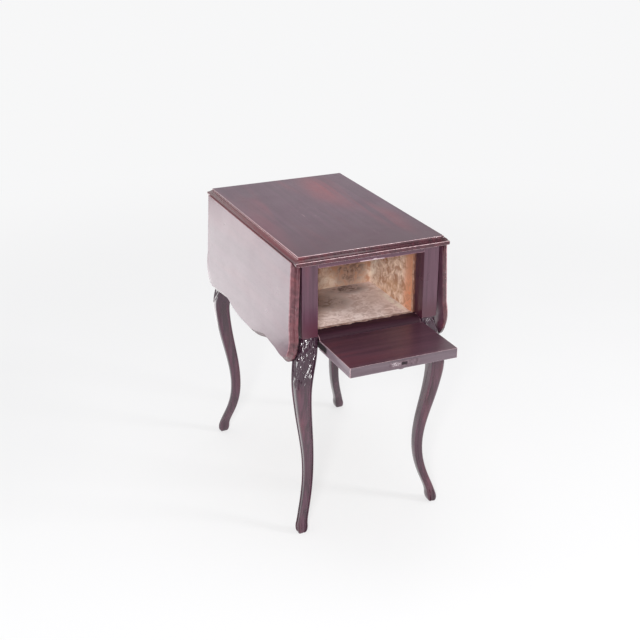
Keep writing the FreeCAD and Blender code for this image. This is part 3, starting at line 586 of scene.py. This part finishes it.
# Grooves between the lobes of the toe, written like the knee's strokes, from the floor up.
FOOT_LOBES = [([(4, 34), (6, 18), (8, 3)], 1.2, 2.2, 1.0), ([(0, 22), (0, 2)], 0.8, 1.4, 0.6),
              ([(13, 30), (15, 15), (16, 3)], 1.1, 2.0, 1.0)]
LOBE_DEPTH = 2.0 * MM
TOE_ROUND, TOE_INSET = 9 * MM, 4.2 * MM
TOE_SWELL, TOE_SWELL_AT, TOE_SWELL_RANGE = 2.2 * MM, 15 * MM, 12 * MM


def foot_depth(across, height):
    """Lobes cut into the toe."""
    return LOBE_DEPTH * stroke_height(FOOT_LOBES, abs(across) / MM, height / MM)


def toe_rounded(ring, height):
    """A ring near the floor: the toe swells out, and is round underneath."""
    rise = max(0.0, 1 - height / TOE_ROUND)
    inset = TOE_INSET * (1 - math.sqrt(1 - rise * rise))
    inset -= TOE_SWELL * math.exp(-((height - TOE_SWELL_AT) / TOE_SWELL_RANGE) ** 2)
    middle_x = sum(x for x, y in ring) / len(ring)
    middle_y = sum(y for x, y in ring) / len(ring)
    half = max(x for x, y in ring) - middle_x
    share = 1 - inset / half
    return [(middle_x + (x - middle_x) * share, middle_y + (y - middle_y) * share) for x, y in ring]


FACE_STEPS = 26
CORNER_STEPS = 12
CROWN = 2.3 * MM                                # how far a face bows
POST_CORNER = 1.5 * MM
INNER_CORNER, INNER_POST_CORNER = 3.0 * MM, 0.8 * MM
GROOVE, GROOVE_AT, GROOVE_HALF = 1.2 * MM, 4.2 * MM, 0.8 * MM       # beside a face's inner edge
QUARTER_TURN, EIGHTH_TURN = 1.57, 0.785         # length of arc, for a radius of 1


def leg_ring(height, low_x, high_x, low_y, high_y):
    """One cross-section of the front left leg: its corner towards -X -Y is the show corner."""
    wide, deep = high_x - low_x, high_y - low_y
    above_knee = smooth(CARVED_TOP - 18 * MM, CARVED_TOP + 4 * MM, height)
    below = 1 - above_knee
    rounding = 0.30 - 0.06 * smooth(0.30, 0.10, height)
    corner = below * rounding * min(wide, deep) + above_knee * POST_CORNER
    crown = below * CROWN
    inner = below * (INNER_CORNER - INNER_POST_CORNER) + INNER_POST_CORNER
    ring = []

    def round_inner(cx, cy, start):
        for step in range(4):
            turn = start + step * math.pi / 6
            ring.append((cx + inner * math.cos(turn), cy + inner * math.sin(turn)))

    def show_point(x, y, out_x, out_y, across, share):
        bow = crown * (2 * share - 1) ** 2
        groove = below * GROOVE * math.exp(-(((1 - share) * wide - GROOVE_AT) / GROOVE_HALF) ** 2)
        cut = bow + groove + carved_depth(across, height) + foot_depth(across, height)
        ring.append((x - out_x * cut, y - out_y * cut))

    round_inner(high_x - inner, high_y - inner, 0)
    round_inner(low_x + inner, high_y - inner, math.pi / 2)
    run = deep - inner - corner
    for step in range(1, FACE_STEPS + 1):
        share = step / (FACE_STEPS + 1)
        away = run * (1 - share)
        show_point(low_x, low_y + corner + away, -1, 0, -(corner * EIGHTH_TURN + away),
                   0.5 + 0.5 * (1 - share))
    for step in range(CORNER_STEPS + 1):
        turn = math.pi + step / CORNER_STEPS * math.pi / 2
        out_x, out_y = math.cos(turn), math.sin(turn)
        show_point(low_x + corner + corner * out_x, low_y + corner + corner * out_y, out_x, out_y,
                   (step / CORNER_STEPS - 0.5) * corner * QUARTER_TURN, 0.5)
    run = wide - inner - corner
    for step in range(1, FACE_STEPS + 1):
        share = step / (FACE_STEPS + 1)
        away = run * share
        show_point(low_x + corner + away, low_y, 0, -1, corner * EIGHTH_TURN + away,
                   0.5 + 0.5 * share)
    round_inner(high_x - inner, low_y + inner, 1.5 * math.pi)
    return ring


LEG_ANGLE = 50              # degrees, from which an edge on a leg stays crisp
LAST_RING = 2 * MM
FOOT_TOP = 34 * MM
POST_STEP, CARVED_STEP, SHANK_STEP, FOOT_STEP = 12 * MM, 1.3 * MM, 7 * MM, 1.8 * MM
FROM_END = 0.5 * MM         # the blank isn't cut closer than this to its ends


def ring_heights(top):
    """Heights from the top of a leg down to the floor, close together where it is carved."""
    heights = [top]
    while heights[-1] > LAST_RING + 0.1 * MM:
        z = heights[-1]
        if CARVED_FOOT < z <= CARVED_TOP:
            step = CARVED_STEP
        elif z < FOOT_TOP:
            step = FOOT_STEP
        else:
            step = SHANK_STEP if z < CARVED_FOOT else POST_STEP
        nearest = CARVED_TOP if z > CARVED_TOP else 0.0
        heights.append(max(z - step, nearest) if z - nearest > 0.1 * MM else z - step)
    heights[-1] = LAST_RING
    return heights + [0.0]


def carve_leg(node):
    """The leg drawn out ring by ring from a disc at its top, following the sawn blank."""
    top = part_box(node)[1].z
    heights = ring_heights(top)
    rings = []
    for z in heights:
        plan = plan_at(node, min(max(z, FROM_END), top - FROM_END))
        rings.append(toe_rounded(leg_ring(z, *plan), z))
    bpy.ops.object.select_all(action="DESELECT")
    bpy.ops.mesh.primitive_circle_add(vertices=len(rings[0]), fill_type="NGON")
    piece = bpy.context.active_object
    bpy.ops.object.mode_set(mode="EDIT")
    count = len(rings[0])
    for _ in rings[1:]:
        bpy.ops.mesh.extrude_region_move(TRANSFORM_OT_translate={"value": (0, 0, -1)})
    bpy.ops.object.mode_set(mode="OBJECT")
    order = sorted(piece.data.vertices, key=lambda v: (
        -round(v.co.z), math.atan2(v.co.x, v.co.y) % (2 * math.pi)))
    for index, vertex in enumerate(order):
        level, place = divmod(index, count)
        x, y = rings[level][place]
        vertex.co = (x, y, heights[level])
    return piece


def tidy_shell(piece):
    """Merges doubles and turns the faces outwards."""
    only(piece)
    bpy.ops.object.mode_set(mode="EDIT")
    bpy.ops.mesh.select_all(action="SELECT")
    bpy.ops.mesh.remove_doubles(threshold=0.01 * MM)
    bpy.ops.mesh.normals_make_consistent(inside=False)
    bpy.ops.object.mode_set(mode="OBJECT")


master = carve_leg("leg_front_left")
tidy_shell(master)
paint(master, leg_polish, post_polish)
for face in master.data.polygons:
    face.material_index = 1 if face.center.z > CARVED_TOP - 4 * MM else 0
first_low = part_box("leg_front_left")[0]
for node, turn_x, turn_y in (("leg_front_left", 1, 1), ("leg_front_right", -1, 1),
                             ("leg_rear_left", 1, -1), ("leg_rear_right", -1, -1)):
    only(master)
    bpy.ops.object.duplicate()
    leg = bpy.context.active_object
    low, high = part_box(node)
    start_x = low.x if turn_x > 0 else high.x
    start_y = low.y if turn_y > 0 else high.y
    leg.data.transform(Matrix.Translation((start_x, start_y, 0))
                       @ Matrix.Diagonal((turn_x, turn_y, 1, 1))
                       @ Matrix.Translation((-first_low.x, -first_low.y, 0)))
    tidy_shell(leg)
    bpy.ops.object.shade_smooth_by_angle(angle=math.radians(LEG_ANGLE))
    fit(leg, node + "_carved", "frame", "leg_mahogany", node)
bpy.data.objects.remove(master)


# ---------------------------------------------------------------- top and leaves

NEAR_LEVEL = 0.5 * MM       # points closer than this in height are on one level

# The top's long arrises take wear with a painted highlight.
top = worked("top_board", "top_mahogany", 1.0, top_polish, arris_wear_and_highlight, edge_polish, worn=True,
             least=60)
field_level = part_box("top_board")[1].z
# Faces below the field are the moulding, in its painted shade.
for face in top.data.polygons:
    if face.material_index == 0 and face.center.z < field_level - NEAR_LEVEL:
        face.material_index = 2


def leaf_chain(piece, side):
    """The leaf's outline on its outer face, from one end of the hinge edge round to the other."""
    outward = Vector((side, 0, 0))
    face = max(piece.data.polygons, key=lambda f: f.area * max(0.0, f.normal.dot(outward)))
    points = [piece.data.vertices[i].co.copy() for i in face.vertices]
    top_level = max(p.z for p in points)
    upper = [i for i, p in enumerate(points) if p.z > top_level - NEAR_LEVEL]
    start = next(i for i in upper if (i + 1) % len(points) not in upper)
    chain = points[start:] + points[:start]
    while chain[-1].z < top_level - NEAR_LEVEL:
        chain.insert(0, chain.pop())
    cut = 1
    while cut < len(chain) and chain[cut].z < top_level - NEAR_LEVEL:
        cut += 1
    return chain[:cut + 1], face.normal.copy()


MOULDING_INSET, MOULDING_STEP, MOULDING_HOLLOW = 12.3 * MM, 2.3 * MM, 8.3 * MM
HOLLOW_STEPS = 8
CUTTER_PAST = 3 * MM        # how far the cutter stands outside the leaf
CUTTER_RUN_ON = 30 * MM     # and past the ends of its outline
SHARPEST_MITRE = 0.6        # keeps the cutter from spreading at a sharp corner


def moulding_cutter(chain, normal):
    """A closed bar along the outline, cut to the moulding's section: a step, then a hollow."""
    section = [(-CUTTER_PAST, -CUTTER_PAST), (MOULDING_INSET, -CUTTER_PAST),
               (MOULDING_INSET, MOULDING_STEP)]
    for index in range(1, HOLLOW_STEPS + 1):
        turn = index / HOLLOW_STEPS * math.pi / 2
        section.append((MOULDING_INSET - MOULDING_HOLLOW + MOULDING_HOLLOW * math.cos(turn),
                        MOULDING_STEP + MOULDING_HOLLOW * math.sin(turn)))
    section.append((-CUTTER_PAST, MOULDING_STEP + MOULDING_HOLLOW))
    path = [chain[0] + (chain[0] - chain[1]).normalized() * CUTTER_RUN_ON] + chain
    path.append(chain[-1] + (chain[-1] - chain[-2]).normalized() * CUTTER_RUN_ON)
    shell = bmesh.new()
    rows = []
    for index, point in enumerate(path):
        before = (point - path[index - 1]).normalized() if index else None
        after = (path[index + 1] - point).normalized() if index < len(path) - 1 else None
        run_a, run_b = before or after, after or before
        inward_a, inward_b = normal.cross(run_a), normal.cross(run_b)
        inward = (inward_a + inward_b).normalized()
        inward /= max(SHARPEST_MITRE, inward.dot(inward_a))
        rows.append([shell.verts.new(point + inward * across - normal * down)
                     for across, down in section])
    for row, following in zip(rows, rows[1:]):
        for a in range(len(section)):
            b = (a + 1) % len(section)
            shell.faces.new((row[a], row[b], following[b], following[a]))
    shell.faces.new(rows[0])
    shell.faces.new(reversed(rows[-1]))
    bmesh.ops.recalc_face_normals(shell, faces=shell.faces)
    mesh = bpy.data.meshes.new("moulding_cutter")
    shell.to_mesh(mesh)
    shell.free()
    cutter = bpy.data.objects.new("moulding_cutter", mesh)
    bpy.context.scene.collection.objects.link(cutter)
    return cutter


SIDES = ((-1, "left"), (1, "right"))
STEP_FROM, STEP_TO, MOULDING_DEEPEST = 0.3 * MM, 2.2 * MM, 15 * MM      # below the outer face

for side, name in SIDES:
    leaf = merged_copy("leaf_" + name)
    chain, normal = leaf_chain(leaf, side)
    cutter = moulding_cutter(chain, normal)
    # The left leaf's moulding takes the painted light, the right's the painted shade; the step a
    # painted highlight.
    paint(leaf, leaf_polish, step_highlight_polish, lit_leaf_moulding_polish if side < 0 else edge_polish)
    apply(leaf, "BOOLEAN", operation="DIFFERENCE", object=cutter, solver="EXACT")
    bpy.data.objects.remove(cutter)
    drop_slivers(leaf)
    drop_folded_faces(leaf)
    outer = normal.dot(chain[0])
    for face in leaf.data.polygons:
        depth = outer - normal.dot(face.center)
        facing = abs(face.normal.dot(normal))
        if STEP_FROM < depth < STEP_TO and facing < 0.5:
            face.material_index = 1
        elif facing < 0.99 or NEAR_LEVEL < depth < MOULDING_DEEPEST:
            face.material_index = 2
    soften(leaf, 30)
    fit(leaf, f"leaf_{name}_moulded", f"{name}_leaf", "leaf_mahogany", "leaf_" + name)


# ---------------------------------------------------------------- case, flap and lining

CASE_ARRIS = 0.8
worked("front_top_rail", "case_mahogany", CASE_ARRIS, rail_polish, worn_arris, worn=True)
worked("front_bottom_rail", "case_mahogany", CASE_ARRIS, sill_polish, worn_arris, worn=True)
for node in ("side_panel_left", "side_panel_right"):
    worked(node, "case_mahogany", CASE_ARRIS, side_polish)
worked("rear_panel", "case_mahogany", CASE_ARRIS, rail_polish)

# The flap's far edge takes a greyer painted sheen and its left end a paler painted light, chosen
# by the way the faces turn; the arrises of the lock's seat stay as dull as the edge about them.
SEAT_HALF, SEAT_MARGIN, FACING = 100 * MM, 2.5 * MM, 0.9
flap = worked("flap_panel", "flap_mahogany", 1.5, flap_polish, arris_wear_and_highlight, flap_edge_sheen_polish,
              flap_left_end_lit_polish, worn=True, least=12)
front = min(corner.co.y for corner in flap.data.vertices)
low, high = (pick(corner.co.z for corner in flap.data.vertices) for pick in (min, max))
for face in flap.data.polygons:
    at_seat = (abs(face.center.x) < SEAT_HALF and abs(face.center.y - front) < SEAT_MARGIN
               and low + SEAT_MARGIN < face.center.z < high - SEAT_MARGIN)
    if face.material_index == 0 and min(face.normal.x, face.normal.y) < -FACING:
        face.material_index = 3 if face.normal.x < -FACING else 2
    elif face.material_index == 1 and at_seat:
        face.material_index = 2
for node in ("bracket_rail_left", "bracket_rail_right", "fly_bracket_left", "fly_bracket_right",
             "floor_board", "floor_ledger_left", "floor_ledger_right", "rear_cleat", "box_back"):
    worked(node, "inner_softwood", CASE_ARRIS, pine)
for node in ("box_side_left", "box_side_right"):
    worked(node, "inner_softwood", CASE_ARRIS, pine_darker)


def bar(name, low, high, width):
    """A small block of the strike between two corners, its arrises rounded."""
    bpy.ops.object.select_all(action="DESELECT")
    bpy.ops.mesh.primitive_cube_add(size=1, location=(Vector(low) + Vector(high)) / 2)
    block = bpy.context.active_object
    block.scale = Vector(high) - Vector(low)
    bpy.ops.object.transform_apply(location=True, rotation=True, scale=True)
    paint(block, strike_highlight_metal)
    round_arrises(block, width)
    fit(block, name, "frame", "lock_brass")


strike_low, strike_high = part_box("strike_plate")
rail_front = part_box("front_top_rail")[0].y
bar("strike_plate_lip", (strike_low.x, rail_front - 0.5 * MM, strike_low.z),
    (strike_high.x, rail_front + 0.3 * MM, strike_low.z + 2.2 * MM), 0.2 * MM)
bar("strike_catch", (3 * MM, rail_front - 0.9 * MM, strike_low.z + 0.8 * MM),
    (11 * MM, rail_front + 0.3 * MM, strike_low.z + 4.2 * MM), 0.8 * MM)

TEAR_STEPS, TEAR_ROWS = 90, 4
PAPER_THICK = 0.35 * MM
RAG, FINE_RAG = 0.55, 0.6           # unevenness of the torn edge, as a share of its reach
LIFT, CURL = 0.35 * MM, 1.1 * MM    # how far the strip stands off, and its torn edge curls
PAPER_ANGLE = 60


def torn_edge(name, start, run, reach, out, finish):
    """A strip of lining paper along a front edge, torn ragged and lifted off its board."""
    bpy.ops.object.select_all(action="DESELECT")
    bpy.ops.mesh.primitive_grid_add(x_subdivisions=TEAR_STEPS, y_subdivisions=TEAR_ROWS, size=1)
    strip = bpy.context.active_object
    for vertex in strip.data.vertices:
        share, across = vertex.co.x + 0.5, vertex.co.y + 0.5
        broad = noise.noise(Vector((share * 13, out.x * 5, out.z * 5)))
        fine = noise.noise(Vector((share * 47, 3, out.z)))
        curl = max(0.0, noise.noise(Vector((share * 9, 7 + out.x, out.z))))
        uneven = 1 + RAG * (broad + FINE_RAG * fine)
        vertex.co = (start + run * share + reach * (across * uneven)
                     + out * (LIFT + CURL * curl * across * across))
    apply(strip, "SOLIDIFY", thickness=PAPER_THICK, offset=0)
    only(strip)
    bpy.ops.object.shade_smooth_by_angle(angle=math.radians(PAPER_ANGLE))
    paint(strip, finish)
    fit(strip, name, "frame", "lining_paper")


torn_paper = lining("lining_torn", "Z", colour(206, 168, 146), colour(146, 98, 78),
                    colour(186, 126, 98))
torn_floor = lining("lining_torn_floor", "X", colour(196, 170, 158), colour(120, 84, 78),
                    colour(160, 128, 116))
TEAR = Vector((0, -7 * MM, 0))
BACK_OFF = Vector((0, 4 * MM, 0))
WALL_END, FLOOR_END = 1 * MM, 2 * MM
for side, name in SIDES:
    low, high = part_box("lining_" + name)
    inner = low.x if side > 0 else high.x
    torn_edge(f"lining_tear_{name}", Vector((inner, low.y, low.z + WALL_END)) + BACK_OFF,
              Vector((0, 0, high.z - low.z - 2 * WALL_END)), TEAR, Vector((-side, 0, 0)),
              torn_paper)
sill_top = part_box("front_bottom_rail")[1].z
torn_edge("lining_tear_floor", Vector((box_low.x + FLOOR_END, box_low.y, sill_top)) + BACK_OFF,
          Vector((box_high.x - box_low.x - 2 * FLOOR_END, 0, 0)), TEAR * 1.3, Vector((0, 0, 1)),
          torn_floor)

SLOT_LENGTH, SLOT_WIDTH, SLOT_DEPTH = 9 * MM, 0.7 * MM, 0.6 * MM
HEAD_PROUD = 0.15 * MM
FIRST_TURN, NEXT_TURN = 37, 73      # degrees, so that slots beside each other don't line up
HEAD_CORNERS = 8                    # a round flat has more corners than this
HEAD_SHARE = 0.7                    # and a head's is larger than this share of the largest


def slotted(node, finish, proud):
    """Screws with their heads slotted, and standing a little proud of their plate."""
    piece = merged_copy(node)
    paint(piece, finish)
    flats = [face for face in piece.data.polygons if len(face.vertices) > HEAD_CORNERS]
    largest = max(face.area for face in flats)
    heads = [(face.center.copy(), face.normal.copy(), list(face.vertices))
             for face in flats if face.area > HEAD_SHARE * largest]
    cutters = []
    for index, (centre, normal, corners) in enumerate(heads):
        for corner in corners:
            piece.data.vertices[corner].co += normal * proud
        bpy.ops.object.select_all(action="DESELECT")
        bpy.ops.mesh.primitive_cube_add(size=1)
        cutter = bpy.context.active_object
        turn = Matrix.Rotation(math.radians(FIRST_TURN + NEXT_TURN * index), 4, "Z")
        facing = normal.to_track_quat("Z", "Y").to_matrix().to_4x4()
        cutter.data.transform(Matrix.Translation(centre + normal * proud) @ facing @ turn
                              @ Matrix.Diagonal((SLOT_LENGTH, SLOT_WIDTH, 2 * SLOT_DEPTH, 1)))
        cutters.append(cutter)
    only(*cutters)
    if len(cutters) > 1:
        bpy.ops.object.join()
    joined = bpy.context.active_object
    apply(piece, "BOOLEAN", operation="DIFFERENCE", object=joined, solver="EXACT")
    bpy.data.objects.remove(joined)
    drop_slivers(piece)
    drop_folded_faces(piece)
    soften(piece)
    fit(piece, node + "_slotted", body_of(node), "screw_iron", node)


for node in nodes:
    if node == "lock_screws":
        slotted(node, plate_metal, 0.0)
    elif node.endswith("_screws") or node.startswith("leaf_screws"):
        slotted(node, iron, HEAD_PROUD)

# The lock's screws can't stand out past the flap's edge, so its face is filed back instead.
lock = merged_copy("lock_case")
face_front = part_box("lock_case")[0].y
for vertex in lock.data.vertices:
    if vertex.co.y < face_front + 0.1 * MM:
        vertex.co.y += HEAD_PROUD
paint(lock, face_metal)
soften(lock)
fit(lock, "lock_case_filed", body_of("lock_case"), "lock_brass", "lock_case")

CAD_FINISHES = {
    "lining_floor": floor_paper, "lining_left": wall_paper, "lining_right": wall_paper,
    "lining_back": back_paper, "strike_plate": strike_highlight_metal,
    "lock_bolt": bolt_metal, "keyhole_boss": plate_metal,
}
for name, node in nodes.items():
    if not node.hide_render:
        paint(node, CAD_FINISHES.get(name, iron))


# ---------------------------------------------------------------- light and camera

FLOOR_SIZE = 60
PAPER_WHITE = (0.93, 0.93, 0.935, 1)
GLOW_NEAR, GLOW_FAR = 0.62, 1.0     # share of the floor's own light, seen near and far
NEAR, FAR = 1.0, 3.0

bpy.ops.object.select_all(action="DESELECT")
bpy.ops.mesh.primitive_plane_add(size=FLOOR_SIZE)
floor = bpy.context.active_object
floor.name = "studio_floor"
sweep = Finish("studio_floor_white", Roughness=0.7, Specular_IOR_Level=0.1)
sweep.feed("Base Color", sweep.blend(sweep.grain((3, 3, 3)), colour(236, 236, 237),
                                     colour(240, 240, 241)))
direct = (sweep.node("LightPath", output="Is Camera Ray")
          + sweep.node("LightPath", output="Is Glossy Ray"))
distance = sweep.node("VectorMath", {"operation": "LENGTH"}, {0: sweep.place}, output="Value")
glow = sweep.node("Emission", {}, {"Color": PAPER_WHITE, "Strength": 1.0})
lifted = direct.clipped() * (GLOW_NEAR
                             + (GLOW_FAR - GLOW_NEAR) * sweep.between(distance, NEAR, FAR))
lit = Flow(sweep, sweep.shader.outputs[0])
shown = sweep.node("MixShader", {}, {0: lifted, 1: lit, 2: glow})
sweep.tree.links.new(shown.socket, sweep.tree.nodes["Material Output"].inputs["Surface"])
paint(floor, sweep.material)
floor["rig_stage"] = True

AMBIENT, BACKDROP = 0.6, 0.95       # strength of the world's light, and as it is seen
world = bpy.data.worlds.new("studio")
bpy.context.scene.world = world
world.use_nodes = True
studio = world.node_tree
background = studio.nodes["Background"]
rays = studio.nodes.new("ShaderNodeLightPath")
seen = studio.nodes.new("ShaderNodeMath")
seen.operation = "MAXIMUM"
studio.links.new(rays.outputs["Is Camera Ray"], seen.inputs[0])
studio.links.new(rays.outputs["Is Glossy Ray"], seen.inputs[1])
strength = studio.nodes.new("ShaderNodeMapRange")
strength.inputs["To Min"].default_value = AMBIENT
strength.inputs["To Max"].default_value = BACKDROP
studio.links.new(seen.outputs[0], strength.inputs["Value"])
studio.links.new(strength.outputs[0], background.inputs["Strength"])
background.inputs["Color"].default_value = (1, 1, 1, 1)


def lamp(name, place, target, size, power):
    """A soft square lamp aimed at a point, and not seen itself."""
    bpy.ops.object.light_add(type="AREA", location=place)
    made = bpy.context.active_object
    made.name = name
    made.data.shape = "SQUARE"
    made.data.size, made.data.energy = size, power
    made.rotation_euler = (Vector(target) - Vector(place)).to_track_quat("-Z", "Y").to_euler()
    made.visible_camera = False


TABLE_MIDDLE = (0, 0.05, 0.45)
lamp("key_lamp", (-1.9, -3.4, 2.0), TABLE_MIDDLE, 0.8, 140)
lamp("fill_lamp", (2.8, -2.0, 1.8), TABLE_MIDDLE, 0.7, 48)
lamp("top_lamp", (0.2, 0.6, 3.6), TABLE_MIDDLE, 2.0, 20)
lamp("sweep_lamp", (-0.95, 1.75, 0.02), (-0.95, 1.75, 3.0), 1.7, 15)

AZIMUTH, ELEVATION, ROLL = math.radians(-24.29), math.radians(23.34), math.radians(0.25)
CAMERA_PLACE = Vector((-1.13366, -2.42859, 1.60916))
SENSOR, LENS = 36, 64.72        # mm
back = Vector((math.sin(AZIMUTH) * math.cos(ELEVATION),
               -math.cos(AZIMUTH) * math.cos(ELEVATION), math.sin(ELEVATION)))
right = Vector((math.cos(AZIMUTH), math.sin(AZIMUTH), 0))
up = back.cross(right)
turned_right = right * math.cos(ROLL) + up * math.sin(ROLL)
turned_up = up * math.cos(ROLL) - right * math.sin(ROLL)
bpy.ops.object.camera_add()
camera = bpy.context.active_object
camera.name = "camera"
camera.data.sensor_width = SENSOR
camera.data.lens = LENS
camera.matrix_world = Matrix.Translation(CAMERA_PLACE) @ Matrix(
    (turned_right, turned_up, back)).transposed().to_4x4()
bpy.context.scene.camera = camera
bpy.context.scene.view_settings.view_transform = "Standard"

low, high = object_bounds()
